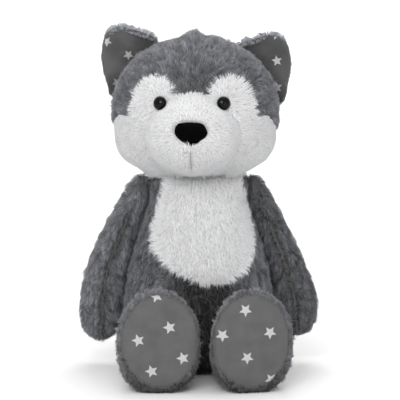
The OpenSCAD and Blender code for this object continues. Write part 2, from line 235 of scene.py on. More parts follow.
def star_cloth(name, across, up, steps, at, point_turn, cloth, star, size=1.0, root=None):
    """Cotton printed with a lattice of stars. at is the middle of one star, steps lead from
    star to star, and root is a place and a way (mm): the cloth grows darker against that way,
    as painted shade in the root of an ear. Returned with its slot."""
    looks = Looks(name, Roughness=0.85, Sheen_Weight=0.15, Sheen_Roughness=0.5)
    cells = []
    for row in np.linalg.inv(steps.T):
        way = row[0] * across + row[1] * up
        shifted = looks.maths("ADD", looks.reach(way), 0.5 - float(dot(way, at)))
        cells.append(looks.maths("SUBTRACT", looks.maths("FRACT", shifted), 0.5))
    local = []
    for k in range(2):
        far = looks.maths("MULTIPLY", cells[1], float(steps[1][k]) / size)
        local.append(looks.maths("MULTIPLY_ADD", cells[0], float(steps[0][k]) / size, far))
    reach = looks.maths("SQRT", looks.maths("ADD", looks.maths("MULTIPLY", local[0], local[0]),
                                            looks.maths("MULTIPLY", local[1], local[1])))
    fifth = 2 * math.pi / 5
    heading = looks.maths("ARCTAN2", local[1], local[0])
    turned = looks.maths("ADD", heading, math.radians(-point_turn) + 10 * fifth)
    fold = looks.maths("PINGPONG", looks.maths("MODULO", turned, fifth), fifth / 2)
    ahead = looks.maths("MULTIPLY", reach, looks.maths("COSINE", fold))
    beside = looks.maths("MULTIPLY", reach, looks.maths("SINE", fold))
    point = np.array([STAR_RADIUS, 0.0])
    waist = STAR_RADIUS * STAR_WAIST * np.array([math.cos(fifth / 2), math.sin(fifth / 2)])
    edge = waist - point
    normal = np.array([edge[1], -edge[0]]) / np.linalg.norm(edge)
    past = looks.maths("ADD", looks.maths("MULTIPLY", ahead, float(normal[0])),
                       looks.maths("MULTIPLY", beside, float(normal[1])))
    past = looks.maths("SUBTRACT", past, float(normal @ point))
    printed = looks.ramp(past, 0.15, -0.15)
    worn = looks.maths("MULTIPLY", printed, looks.ramp(looks.noise(2500, 2), 0.15, 0.45))
    mottle = looks.ramp(looks.noise(70, 4), 0.3, 0.7)
    ground = looks.blend(mottle, grey(cloth * 0.86), grey(cloth * 1.12))
    printed_cloth = looks.blend(worn, ground, grey(star))
    # Painted shade: the lining darkens towards the ear's root, where shade falls
    if root is not None:
        place, way = root
        depth = looks.maths("SUBTRACT", looks.reach(way), float(dot(way, place)))
        depth = looks.maths("MULTIPLY_ADD", looks.noise(60, 2), 10.0, depth)
        shaded = looks.blend(0.75, printed_cloth, grey(cloth * 0.15))
        printed_cloth = looks.blend(looks.ramp(depth, 3, 17), shaded, printed_cloth)
    looks.feed(printed_cloth, "Base Color")
    looks.bump(weave(looks, 0.0007), 0.35, 0.0003)
    return looks.mat, "star_print"


def pile_tones(name, levels, warmth=0.0, sheen=0.3):
    """Shades of fur, from dark to light. A tuft's root half is painted one shade darker than its tip, as
    painted shade deep in the pile.
    """
    return [Looks(f"{name}_{k}", Base_Color=grey(level, warmth), Roughness=0.9, Sheen_Weight=sheen,
                  Sheen_Roughness=0.4).mat for k, level in enumerate(levels)]


def fibre_filling():
    looks = Looks("fibre_filling", Roughness=1.0, Sheen_Weight=0.4)
    wisps = looks.noise(220, 8, 0.7)
    looks.feed(looks.blend(wisps, grey(0.7), grey(0.9)), "Base Color")
    looks.bump(wisps, 0.8, 0.002)
    return looks.mat


def bag_cloth():
    looks = Looks("pellet_cloth", Roughness=0.9)
    threads = weave(looks, 0.0015)
    looks.feed(looks.blend(looks.ramp(threads, -1, 1), (0.55, 0.5, 0.4, 1), (0.72, 0.67, 0.56, 1)),
               "Base Color")
    looks.bump(threads, 0.7, 0.0006)
    return looks.mat


def moulded(name, level, roughness, shine, grain=0.1):
    """Moulded plastic: a fine grain, and wear that dulls it in places"""
    looks = Looks(name, Specular_IOR_Level=shine)
    worn = looks.noise(450, 4)
    looks.feed(looks.blend(worn, grey(level * 0.8), grey(level * 1.3)), "Base Color")
    looks.feed(looks.maths("MULTIPLY_ADD", looks.noise(1200, 2), 0.12, roughness), "Roughness")
    looks.bump(looks.noise(2500, 3), grain, 0.0001)
    return looks.mat


def twisted_thread(name, dark, light):
    looks = Looks(name, Roughness=0.7, Sheen_Weight=0.3)
    strands = looks.add("ShaderNodeTexWave", {"Vector": looks.where(), "Scale": 900.0},
                        bands_direction="DIAGONAL").outputs["Fac"]
    looks.feed(looks.blend(strands, grey(dark), grey(light)), "Base Color")
    looks.bump(strands, 0.8, 0.0002)
    return looks.mat


# The darkest grey tone serves the painted shade between the legs
GREY_TONES = pile_tones("grey_pile", (0.006, 0.03, 0.075, 0.14, 0.205, 0.28, 0.37, 0.48), warmth=-0.1)
CROWN_TONES = pile_tones("crown_pile", (0.04, 0.085, 0.14, 0.20, 0.27, 0.36, 0.48), warmth=-0.09)
WHITE_TONES = pile_tones("white_pile", (0.45, 0.62, 0.74, 0.82, 0.88, 0.92, 0.95), warmth=-0.01,
                         sheen=0.15)
# Each cloth with its slot. The backing cloths are painted darker than their pile, as painted shade under the
# fur.
GREY_CLOTH = (backing_cloth("grey_backing", 0.06, 0.10), "grey_plush")
WHITE_CLOTH = (backing_cloth("white_backing", 0.5, 0.66), "white_plush")
EYE_GLOSS = moulded("eye_gloss", 0.001, 0.02, 0.18, 0.02)

# ---- Skins: smooth surfaces round the CAD solids ----

WHOLE = slice(None)  # all the faces of a skin


class Skin:
    """A surface with its corners, faces and smooth normals, in millimetres"""

    def __init__(self, corners, quads):
        self.corners = corners
        self.quads = quads
        a, b, c, d = (corners[quads[:, k]] for k in range(4))
        face = (np.cross(b - a, c - a) + np.cross(c - a, d - a)) / 2
        self.area = np.linalg.norm(face, axis=1)
        normals = np.zeros_like(corners)
        for k in range(4):
            np.add.at(normals, quads[:, k], face)
        self.normals = unit(normals)
        self.middle = corners[quads].mean(axis=1)
        self.facing = unit(face)

    def spread(self, chosen, per_mm2, seed):
        """Points scattered evenly over the chosen faces, with the normals there"""
        rng = np.random.default_rng(seed)
        count = self.area[chosen] * per_mm2
        times = np.floor(count + rng.uniform(0, 1, len(count))).astype(int)
        quads = np.repeat(self.quads[chosen], times, axis=0)
        u, v = rng.uniform(0, 1, (2, len(quads), 1))
        share = [(1 - u) * (1 - v), u * (1 - v), u * v, (1 - u) * v]
        p = sum(s * self.corners[quads[:, k]] for k, s in enumerate(share))
        n = unit(sum(s * self.normals[quads[:, k]] for k, s in enumerate(share)))
        return p, n


def wrap(nodes, voxel, rounds):
    """One smooth skin round CAD nodes that lie against each other"""
    joined = bmesh.new()
    for node in nodes:
        joined.from_mesh(frame["nodes"][node].data)
    bmesh.ops.remove_doubles(joined, verts=joined.verts, dist=1e-6)
    mesh = bpy.data.meshes.new("wrap")
    joined.to_mesh(mesh)
    joined.free()
    ob = new_object("wrap", mesh)
    remesh = ob.modifiers.new("voxels", "REMESH")
    remesh.mode = "VOXEL"
    remesh.voxel_size = voxel * MM
    smooth = ob.modifiers.new("smooth", "SMOOTH")
    smooth.iterations = rounds
    done = ob.evaluated_get(bpy.context.evaluated_depsgraph_get()).to_mesh()
    corners = np.zeros(len(done.vertices) * 3)
    done.vertices.foreach_get("co", corners)
    quads = np.array([list(p.vertices) + [p.vertices[-1]] * (4 - len(p.vertices)) for p in done.polygons])
    bpy.data.objects.remove(ob)
    bpy.data.meshes.remove(mesh)
    return Skin(corners.reshape(-1, 3) / MM, quads)


def lathe(profile, turns):
    """A skin from [radius, height] pairs, bottom to top, turned about the upright axis"""
    angle = np.arange(turns) * 2 * math.pi / turns
    ring = np.stack([np.cos(angle), np.sin(angle), np.zeros(turns)], axis=1)
    corners = np.concatenate([r * ring + [0, 0, z] for r, z in profile])
    k, i = np.meshgrid(np.arange(len(profile) - 1), np.arange(turns), indexing="ij")
    j = (i + 1) % turns
    quads = np.stack([k * turns + i, k * turns + j, (k + 1) * turns + j, (k + 1) * turns + i], axis=-1)
    return Skin(corners, quads.reshape(-1, 4))


def torso_outline():
    """The torso's radius by height, felt from behind where no limb or tail is cut in"""
    tree = BVHTree.FromObject(frame["nodes"]["back_panel_right"], bpy.context.evaluated_depsgraph_get())
    way = Vector((-1, -1, 0)).normalized()
    low, high = box_mm("torso_filling")
    outline = []
    for z in np.linspace(low[2] + 1, high[2] + 1, 60):
        hit = tree.ray_cast(Vector((0.2, 0.2, z * MM)), way)[0]
        if hit is not None:
            outline.append([math.hypot(hit.x, hit.y) / MM, z])
    return outline


TORSO_OUTLINE = torso_outline()
TORSO_TOP = box_mm("back_panel_right")[1][2]


def torso_radius(z):
    return np.interp(z, [p[1] for p in TORSO_OUTLINE], [p[0] for p in TORSO_OUTLINE])


# The chest and shoulders are stuffed full: they bulge up to the head, above the CAD's outline
BULGE_FROM = 138  # the height where the bulge starts
BULGE = [[38.8, 142], [39.2, 148], [38.8, 153.5], [36, 158.5], [30, 161.5], [20, 163]]


def torso_skin():
    base = TORSO_OUTLINE[0][0]
    profile = [[0.2, 0], [base * 0.4, 0], [base * 0.8, 0], [base - 3, 0.3]]
    profile += [row for row in TORSO_OUTLINE if row[1] < BULGE_FROM]
    radii, heights = zip(*BULGE)
    ranks = np.arange(len(BULGE))
    profile += [[np.interp(k, ranks, radii), np.interp(k, ranks, heights)]
                for k in np.linspace(0, len(BULGE) - 1, 4 * len(BULGE))]
    top, height = BULGE[-1]
    profile += [[top * s, height + 0.5 * (1 - s)] for s in (0.8, 0.6, 0.4, 0.2, 0.02)]
    return lathe(profile, 128)


# ---- Cloth pieces ----


def make_object(name, mesh, body, materials):
    for mat in materials:
        mesh.materials.append(mat)
    ob = new_object(name, mesh)
    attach(ob, body)
    return ob


def smooth_mesh(name, corners, quads):
    """A mesh shaded smooth. A quad that names a corner twice is a triangle."""
    mesh = bpy.data.meshes.new(name)
    mesh.from_pydata((corners * MM).tolist(), [], [list(dict.fromkeys(q)) for q in quads.tolist()])
    mesh.polygons.foreach_set("use_smooth", np.ones(len(mesh.polygons), bool))
    return mesh


def cloth(node, body, skin, chosen, look, thick=1.4, fill=0.9, name=None):
    """A panel of cloth: the chosen faces of a skin, with a thickness inwards. look is a
    material and its slot."""
    name = (name or node) + "_cloth"
    mat, slot = look
    used, quads = np.unique(skin.quads[chosen], return_inverse=True)
    mesh = smooth_mesh(name, skin.corners[used], quads.reshape(-1, 4))
    ob = make_object(name, mesh, body, [mat])
    depth = ob.modifiers.new("thickness", "SOLIDIFY")
    depth.thickness = thick * MM
    depth.offset = -1
    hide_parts(node)


# ---- Fur ----

TUFT_QUADS = np.array([[0, 1, 4, 3], [1, 2, 5, 4], [2, 0, 3, 5]])
TUFT_TRIANGLES = np.array([[3, 4, 6], [4, 5, 6], [5, 3, 6], [0, 2, 1]])
TUFT_CORNERS = 7
STREAK = 0.55  # how far tufts and shades are drawn out along the comb
# In tones, how much lighter a guard hair is, and how much darker a parting is painted, as painted shade
GUARD_LIGHTER = 1.2
PARTING_PAINTED_SHADE = 2.2


@dataclass
class Coat:
    """How a fur grows. Lengths and widths in mm, lean and swirl in degrees."""

    length: float
    width: float
    per_mm2: float
    lean: float  # from the skin's normal
    cloth: tuple  # what it grows from, with its slot
    tones: list
    tone: float  # which of the tones is the usual one
    clump: float  # how far apart clumps are
    pull: float  # how far a clump's tips are drawn together
    painted_relief: float  # how much lighter a clump is painted than what lies between: painted light on the clumps, painted shade in the gaps
    spread: float = 0.5  # how far the tones vary
    swirl: float = 30.0  # how far the comb turns from place to place
    uneven: float = 0.2  # how far the length varies
    guard: float = 0.03  # share of longer, thinner hairs
    parted: float = 0.0  # how deep the partings are: shorter tufts, with painted shade in them


def clump_leaders(p, size, rng):
    """For each point, the index of the nearest of the points chosen as clump leaders"""
    area = 1.6 * size * size
    wish = max(8, int(len(p) / max(1.0, area * 0.7)))
    leaders = rng.choice(len(p), min(wish, len(p)), replace=False)
    tree = KDTree(len(leaders))
    for k, i in enumerate(leaders):
        tree.insert(p[i], k)
    tree.balance()
    return leaders[np.array([tree.find(q)[1] for q in p])]


def turned(v, axis, angle):
    """v turned about unit axis by an angle in radians, each row on its own"""
    c, s = np.cos(angle)[:, None], np.sin(angle)[:, None]
    return v * c + np.cross(axis, v) * s + axis * dot(axis, v)[:, None] * (1 - c)


def grow(name, body, coat, p, n, flow, seed, longer=1.0, tone_shift=0.0, lean_more=0.0, floor=None):
    """Grows a coat from points p with normals n, combed along flow: one way, or a way each"""
    rng = np.random.default_rng(seed)
    count = len(p)
    flow = np.broadcast_to(flow, p.shape).copy()
    along = unit(flow.mean(axis=0) + 1e-6)
    streak = p - STREAK * dot(p, along)[:, None] * along
    comb = unit(flow - n * dot(flow, n)[:, None])
    swirl = np.radians(coat.swirl) * (ripple(p, 7, seed + 1) + 0.5 * ripple(p, 3, seed + 2))
    comb = turned(comb, n, swirl + rng.normal(0, 0.25, count))
    lean = np.radians(coat.lean + lean_more + 10 * ripple(p, 5, seed + 3)) + rng.normal(0, 0.1, count)
    lead = clump_leaders(streak, coat.clump, rng)
    near = bell(np.linalg.norm(streak - streak[lead], axis=1), 0.75 * coat.clump)
    parting = coat.parted * bell(ripple(streak, 9, seed + 7), 0.14)
    guard = rng.uniform(0, 1, count) < coat.guard
    length = coat.length * longer * (1 + coat.uneven * ripple(p, 4, seed + 4)) * (0.85 + 0.3 * near)
    length = length * np.where(guard, 1.35, rng.uniform(0.75, 1.15, count))
    length = np.maximum(length * (1 - 0.35 * parting), 0.8)[:, None]
    root = p - 0.4 * n
    middle = root + length * 0.55 * (np.cos(0.5 * lean)[:, None] * n + np.sin(0.5 * lean)[:, None] * comb)
    tip = root + length * (0.92 * np.cos(lean)[:, None] * n + np.sin(lean)[:, None] * comb)
    pull = (coat.pull * near * ~guard)[:, None]
    tip += pull * (tip[lead] - tip)
    middle += 0.35 * pull * (middle[lead] - middle)
    if floor is not None:
        for part in (root, middle, tip):
            part[:, 2] = np.maximum(part[:, 2], floor)
    strand = unit(tip - root)
    side = unit(np.cross(strand, unit(rng.normal(size=(count, 3)))))
    other = np.cross(strand, side)
    width = (coat.width * np.where(guard, 0.6, rng.uniform(0.7, 1.3, count)))[:, None]
    corners = np.empty((count, TUFT_CORNERS, 3))
    normals = np.empty_like(corners)
    for k in range(3):
        angle = 2 * math.pi * k / 3
        out = math.cos(angle) * side + math.sin(angle) * other
        corners[:, k] = root + width * out
        corners[:, 3 + k] = middle + 0.8 * width * out
        normals[:, k] = n + 0.25 * out
        normals[:, 3 + k] = n + 0.35 * out
    corners[:, 6] = tip
    normals[:, 6] = n + 0.3 * strand
    if floor is not None:
        corners[..., 2] = np.maximum(corners[..., 2], floor)
    patch = ripple(streak, 5, seed + 5) + 0.6 * ripple(streak, 2.2, seed + 6)
    shade = 0.7 * patch + rng.normal(0, 0.6, count) + 0.7 * rng.normal(0, 1, count)[lead]
    # Painted light on the middle of each clump and painted shade in the gaps between clumps
    tone = coat.tone + tone_shift + coat.spread * shade + coat.painted_relief * (near - 0.5)
    # Guard hairs are lighter; the tufts in partings get painted shade
    tone = tone + GUARD_LIGHTER * guard - PARTING_PAINTED_SHADE * parting
    tone = np.clip(np.round(tone), 0, len(coat.tones) - 1).astype(int)
    tuft_object(name + "_fur", body, coat, corners, normals, tone)


def tuft_object(name, body, coat, corners, normals, tone):
    count = len(corners)
    start = (np.arange(count) * TUFT_CORNERS)[:, None, None]
    quads = (TUFT_QUADS + start).reshape(-1)
    triangles = (TUFT_TRIANGLES + start).reshape(-1)
    loops = np.concatenate([quads, triangles]).astype(np.int32)
    begin = np.concatenate([np.arange(0, len(quads), 4), len(quads) + np.arange(0, len(triangles), 3)])
    mesh = bpy.data.meshes.new(name)
    mesh.vertices.add(count * TUFT_CORNERS)
    mesh.vertices.foreach_set("co", (corners * MM).reshape(-1))
    mesh.loops.add(len(loops))
    mesh.loops.foreach_set("vertex_index", loops)
    mesh.polygons.add(len(begin))
    mesh.polygons.foreach_set("loop_start", begin.astype(np.int32))
    # Painted shade: the root half of each tuft takes the next darker tone, as shade deep in the pile
    darker = np.repeat(np.maximum(tone - 1, 0), 3)
    lighter = np.repeat(tone, 4)
    mesh.polygons.foreach_set("material_index", np.concatenate([darker, lighter]).astype(np.int32))
    mesh.polygons.foreach_set("use_smooth", np.ones(len(begin), bool))
    mesh.update(calc_edges=True)
    mesh.normals_split_custom_set_from_vertices(unit(normals).reshape(-1, 3))
    ob = make_object(name, mesh, body, coat.tones)


SHORT_GREY = Coat(4.6, 0.21, 1.15, 48, GREY_CLOTH, GREY_TONES, 3.75, clump=3.8, pull=0.6, painted_relief=1.3,
                  swirl=38, parted=1.0)
LONG_GREY = Coat(6.5, 0.24, 0.9, 50, GREY_CLOTH, GREY_TONES, 3.9, spread=0.6, clump=4.5, pull=0.6,
                 painted_relief=1.0, swirl=25)
CROWN_GREY = Coat(4.7, 0.19, 1.3, 54, GREY_CLOTH, CROWN_TONES, 2.6, spread=0.6, clump=3.4, pull=0.45,
                  painted_relief=1.1, guard=0.1, parted=0.35)
WHITE_PLUSH = Coat(3.2, 0.18, 1.8, 58, WHITE_CLOTH, WHITE_TONES, 4.8, spread=0.12, clump=3.0, pull=0.05,
                   painted_relief=0.1, swirl=14, uneven=0.1, guard=0.01)
SILKY_WHITE = Coat(5.2, 0.17, 1.8, 66, WHITE_CLOTH, WHITE_TONES, 4.6, spread=0.15, clump=3.0, pull=0.2,
                   painted_relief=0.15, swirl=14, uneven=0.12, guard=0.01)
DOWN = np.array([0.0, 0.0, -1.0])

# ---- Torso ----

BELLY_LOWER = 2.5  # how far the belly's foot is drawn up, and aside
BELLY_ASIDE = 9.0
BELLY_BACK = -8  # the belly panel lies in front of this
BELLY_WIDEST = 0.46  # how far up it is widest, as a share of its height
BELLY_TAPER = 0.24  # how much narrower it is at the top
SEAT_HIGH = 3  # the seat panel lies below this
CROTCH_PAINTED_SHADE = 7  # in tones, painted shade between the legs
BACK_PAINTED_SHADE = {"back_panel_left": 0.4}  # in tones, painted shade on the left side of the back
COLLAR = (154, 161)  # between these heights the torso's fur turns up towards the head


def belly_share(z):
    """How far up the belly panel a height is, 0 to 1"""
    low, high = box_mm("belly_panel")
    foot = low[2] + BELLY_LOWER
    return np.clip((z - foot) / (high[2] - foot), 0, 1)


def belly_width(z):
    """Half the belly panel's width at a height: widest below the middle, round at the foot"""
    low, high = box_mm("belly_panel")
    share = belly_share(z)
    foot = np.sqrt(np.clip(1 - (1 - np.minimum(share / BELLY_WIDEST, 1)) ** 2, 0, 1))
    taper = 1 - BELLY_TAPER * np.clip((share - BELLY_WIDEST) / (1 - BELLY_WIDEST), 0, 1) ** 1.3
    return ((high[0] - low[0]) / 2 - 1.5) * foot * taper * (share > 0)


def belly_middle(z):
    """Where the middle of the belly panel is at a height: its foot sits aside"""
    return centre_mm("belly_panel")[0] + 1.2 + BELLY_ASIDE * fade(belly_share(z), 0, 0.4)


def torso_panels(p):
    """0 seat, 1 belly, 2 back left, 3 back right"""
    x, y, z = p.T
    label = np.where(x < 0, 2, 3)
    label[(np.abs(x - belly_middle(z)) < belly_width(z)) & (y < BELLY_BACK)] = 1
    label[z < SEAT_HIGH] = 0
    return label


def in_crotch(p):
    """How far a point is into the deep shade between the legs, 0 to 1"""
    x, y, z = p.T
    return fade(z, 56, 92) * fade(np.abs(x - 4), 14, 34) * (y < 0)


def make_torso():
    skin = torso_skin()
    label = torso_panels(skin.middle)
    coats = {"seat_panel": SHORT_GREY, "belly_panel": SILKY_WHITE, "back_panel_left": SHORT_GREY,
             "back_panel_right": SHORT_GREY}
    centre = centre_mm("belly_panel")
    for k, (name, coat) in enumerate(coats.items()):
        cloth(name, "torso", skin, label == k, coat.cloth)
        if k == 0:
            continue
        p, n = skin.spread(label == k, coat.per_mm2, 100 + k)
        x, y, z = p.T
        flow = np.tile(DOWN, (len(p), 1))
        collar = smooth_step(z, *COLLAR)
        longer = 1 + 0.4 * collar
        # Painted shade: the fur is darker deep between the legs, and a little darker on the left back panel
        shift = -CROTCH_PAINTED_SHADE * in_crotch(p) - BACK_PAINTED_SHADE.get(name, 0)
        if k == 1:
            inside = belly_width(z) - np.abs(x - belly_middle(z))
            outward = unit((p - centre) * [1, 0, 1])
            edge = fade(inside, 2, 12)[:, None]
            flow = flow * (1 - edge) + outward * edge
            longer = 0.72 + 0.35 * edge[:, 0] + 0.35 * collar
        rising = unit(p * [1, 1, 0]) + [0, 0, 0.8]
        flow = flow * (1 - collar)[:, None] + rising * collar[:, None]
        behind = (y > 0) & (k > 1)
        for end, here, seed in (("", ~behind, 110 + k), ("_rear", behind, 120 + k)):
            if here.any():
                grow(name + end, "torso", coat, p[here], n[here], flow[here], seed, longer[here],
                     shift[here], -22 * collar[here], floor=0.3)


def outside_torso(p, n, deep):
    """The points, with their normals, that don't lie that deep in the torso"""
    seen = np.hypot(p[:, 0], p[:, 1]) >= torso_radius(p[:, 2]) - deep
    return p[seen], n[seen]


# ---- Neck ----

NECK_TOP = 162.0  # height at which the belly's outline is carried on up the neck


def make_neck():
    """The neck carries the belly's white up to the chin"""
    skin = wrap(["neck_filling"], 2.0, 2)
    x, y, z = skin.middle.T
    front = (np.abs(x - belly_middle(NECK_TOP)) < belly_width(NECK_TOP)) & (y < 0)
    seen = np.abs(z - TORSO_TOP - 2) < 9
    sides = (("neck_front", front, SILKY_WHITE), ("neck_back", ~front, SHORT_GREY))
    for k, (name, chosen, coat) in enumerate(sides):
        cloth("neck_filling", "neck", skin, chosen, coat.cloth, name=name)
        p, n = skin.spread(chosen & seen, coat.per_mm2, 150 + k)
        grow(name, "neck", coat, p, n, DOWN, 152 + k)


# ---- Head ----

# The white patch round an eye, as [outwards, up] from the eye, inner side first
PATCH_OUTLINE = np.array([[-12.5, -24], [-12.3, 4], [-10.3, 10], [-7.3, 15.5], [-2.5, 19.3], [5, 20.3],
                          [12.5, 19.3], [18.5, 12], [23.3, 2], [25.3, -10], [24, -24]])
PATCH_BACK = -25  # rear edges of the eye patches, the white cheeks and the muzzle
WHITE_BACK = 13
MUZZLE_BACK = -42
WHITE_TOP = 211  # upper edge of the white cheeks in front
MUZZLE_OVER = 1.5  # how far the muzzle's fur laps over the panels round it
CHIN_PANEL = (16, 168)  # half its width, and its top
CHIN_LOW = 157.5  # between these heights the head narrows to the chin
CHIN_HIGH = 177
CHIN_TAPER = 0.2
CHIN_RISE = 2.2  # how much higher the chin is in front
CHIN_SOFT = 1.2  # how softly it is flattened
CHEEK_FULL = 2.2  # how far the cheeks swell
MUZZLE_WIDE = 1.14  # the stuffing spreads the muzzle sideways
EYE_X = 25
EYE_SOCKET = 1.2  # how deep the eyes are drawn in
EYE_BARE = 5.8  # no fur grows nearer to an eye's middle than this
MOUTH_LOW = 170  # the ends of the mouth seam
MOUTH_HIGH = 190
MOUTH_DEEP = 1.8  # how far the seam is pulled in
WHISKER_DROP = 13.0  # how far below the middle of the nose its whiskers grow


def within(outline, x, z):
    """True where a point lies inside a closed outline"""
    inside = np.zeros(len(x), bool)
    for a, b in zip(outline, np.roll(outline, -1, axis=0)):
        crosses = (a[1] > z) != (b[1] > z)
        at = a[0] + (z - a[1]) * (b[0] - a[0]) / (b[1] - a[1] if b[1] != a[1] else 1e-9)
        inside ^= crosses & (x < at)
    return inside


def muzzle_middle():
    low, high = box_mm("muzzle_panel")
    middle = in_head((low + high) / 2)
    return middle, (high[0] - low[0]) / 2


def muzzle_spread(z):
    """How much the muzzle is widened at a height: less towards the eyes"""
    return 1 + (MUZZLE_WIDE - 1) * fade(z, 205, 222)


def mouth_seam(h, width):
    """How near points are to the mouth seam, 0 to 1"""
    x, y, z = h.T
    along = smooth_step(z, MOUTH_LOW - 4, MOUTH_LOW + 4) * fade(z, MOUTH_HIGH, MOUTH_HIGH + 6)
    return bell(x, width) * along * smooth_step(-y, 45, 60)


def white_top(x, y):
    """Upper edge of the white cheeks: it falls away towards the sides"""
    return WHITE_TOP - (10.5 + 2.5 * np.sign(x)) * smooth_step(y, -44, -18)


HEAD_PANELS = ("crown_left", "crown_right", "eye_patch_left", "eye_patch_right", "cheek_left",
               "cheek_right", "chin_panel", "muzzle_panel")


def head_panels(h):
    """Which of HEAD_PANELS each point of the head belongs to, in the head's own frame"""
    x, y, z = h.T
    middle, radius = muzzle_middle()
    label = np.where(x < 0, 0, 1)
    patch = within(PATCH_OUTLINE, np.abs(x) - EYE_X, z - EYE_HEIGHT) & (y < PATCH_BACK)
    label[patch] = np.where(x[patch] < 0, 2, 3)
    white = (z < white_top(x, y)) & (y < WHITE_BACK)
    label[white] = np.where(x[white] < 0, 4, 5)
    label[white & (np.abs(x) < CHIN_PANEL[0]) & (z < CHIN_PANEL[1])] = 6
    reach = np.hypot((x - middle[0]) / muzzle_spread(z), z - middle[2])
    label[(reach < radius + MUZZLE_OVER) & (y < MUZZLE_BACK)] = 7
    return label


def head_flow(h, label):
    """The way the fur is combed, in the head's own frame"""
    flow = unit(h - (NOSE + [0, 0, 14]))
    low = label >= 4
    flow[low] = unit(h[low] - NOSE + [0, 0, -12])
    eye = np.sign(h[:, :1]) * [EYE_X, 0, 0] + [0, HEAD_FRONT, EYE_HEIGHT]
    patch = (label == 2) | (label == 3)
    flow[patch] = unit(h[patch] - eye[patch])
    muzzle = label == 7
    flow[muzzle] = unit(h[muzzle] - (NOSE + [0, 0, 3]))
    return flow


def stuffed_head(h):
    """The stuffing draws the lower face in to a broad chin, spreads the muzzle, puckers the
    mouth seam and leaves a peak where the crown's seams meet"""
    h = h.copy()
    x, y, z = h.T.copy()
    middle, radius = muzzle_middle()
    radius += MUZZLE_OVER
    reach = np.hypot(x - middle[0], z - middle[2])
    front = smooth_step(-y, 38, 50)
    spread = (muzzle_spread(z) - 1) * fade(reach, radius, radius + 20) * front
    h[:, 0] += (x - middle[0]) * spread
    h[:, 0] *= 1 - CHIN_TAPER * fade(z, CHIN_LOW, CHIN_HIGH)
    seam = 0.7 * bell(radius - reach, 2.5) * front
    full = 2.0 * smooth_step(radius - reach, 0, 9) * front
    h += (full - seam)[:, None] * unit(h - (middle + [0, 25, 0]))
    h[:, 1] += MOUTH_DEEP * mouth_seam(h, 2.2)
    lowest = CHIN_LOW + CHIN_RISE * smooth_step(-y, 15, 45)
    h[:, 2] = lowest + CHIN_SOFT * np.logaddexp(0, (h[:, 2] - lowest) / CHIN_SOFT)
    high = smooth_step(z, 258, 272)
    peak = 3.8 * bell(x + 2.5, 7) + 1.8 * bell(x - 17, 13)
    h[:, 2] += (peak - 0.8) * high
    h[:, 0] += CHEEK_FULL * np.sign(x) * bell(z - 190, 13) * smooth_step(np.abs(x), 30, 55)
    gap = np.hypot(np.abs(x) - EYE_X, z - EYE_HEIGHT)
    h[:, 1] += EYE_SOCKET * bell(gap, 7) * (y < 0)
    return h


def make_head():
    skin = wrap(list(HEAD_PANELS) + ["head_filling", "nose_washer", "eye_washer_left",
                                     "eye_washer_right", "neck_filling"], 2.0, 5)
    skin = Skin(out_of_head(stuffed_head(in_head(skin.corners))), skin.quads)
    h = in_head(skin.middle)
    label = head_panels(h)
    coats = [CROWN_GREY] * 2 + [SILKY_WHITE] * 2 + [WHITE_PLUSH] * 4
    for k, (name, coat) in enumerate(zip(HEAD_PANELS, coats)):
        cloth(name, "head", skin, label == k, coat.cloth)
        p, n = skin.spread(label == k, coat.per_mm2, 200 + k)
        hp = in_head(p)
        x, y, z = hp.T
        flow = head_flow(hp, np.full(len(p), k))
        longer = np.ones(len(p))
        shift = np.zeros(len(p))
        if k < 2:
            seam = bell(x, 3.5) * smooth_step(z, 255, 268)
            longer += 0.5 * seam
            shift -= 0.9 * bell(x, 26) * fade(z, 236, 262)
        if k in (4, 5, 6):
            fringe = fade(z, 161, 167) * smooth_step(-y, 5, 25)
            longer += (0.8 + 0.9 * ripple(hp, 3, 240 + k)) * fringe
            flow += fringe[:, None] * [0, 0, -2.0]
            # Painted shade: the cheeks and chin are darker than the muzzle, all but the fringe at the chin's
            # lower edge, which is painted lighter over the shadow under the chin
            shift += 0.8 * fringe - 0.7
        if k == 7:
            longer *= 0.62 + 0.38 * smooth_step(np.hypot(x - NOSE[0], z - NOSE[2]), 14, 30)
            seam = mouth_seam(hp, 1.8)
            flow[:, 0] += 1.2 * np.sign(x) * mouth_seam(hp, 4)
            longer *= 1 - 0.5 * seam
            # Painted shade in the pucker of the mouth seam
            shift -= 2.6 * mouth_seam(hp, 1.1)
            whiskers = (np.abs(x - NOSE[0]) < 5) & (np.abs(z - NOSE[2] + WHISKER_DROP) < 2.5)
            flow[whiskers] = [0, -1.2, 1]
            longer[whiskers] = 2.1
            shift[whiskers] = 0.8
        eye_gap = np.hypot(np.abs(x) - EYE_X, z - EYE_HEIGHT) + np.abs(y - HEAD_FRONT) * 0.3
        longer *= 0.2 + 0.8 * smooth_step(eye_gap, 5.5, 13)
        keep = eye_gap > EYE_BARE
        grow(name, "head", coat, p[keep], n[keep], turn_out(flow)[keep], 210 + k, longer[keep],
             shift[keep])
    return skin


def make_mouth(skin):
    """One sewn thread in the pucker of the mouth seam, from under the nose to the chin"""
    tree = BVHTree.FromPolygons(skin.corners.tolist(), skin.quads.tolist())
    path = []
    for z in np.linspace(MOUTH_LOW, MOUTH_HIGH, 24):
        start = out_of_head([0, -150, z])
        hit = tree.ray_cast(Vector(start), Vector(head_back))[0]
        if hit is not None:
            path.append(hit)
    curve = bpy.data.curves.new("mouth_thread", "CURVE")
    curve.dimensions = "3D"
    curve.bevel_depth = 0.55 * MM
    curve.bevel_resolution = 3
    curve.use_fill_caps = True
    spline = curve.splines.new("POLY")
    spline.points.add(len(path) - 1)
    for point, place in zip(spline.points, path):
        point.co = (*(place * MM), 1)
    ob = make_object("mouth_thread", curve, "head", [twisted_thread("mouth_cotton", 0.3, 0.45)])
    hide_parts("mouth_stitch")


# ---- Ears ----

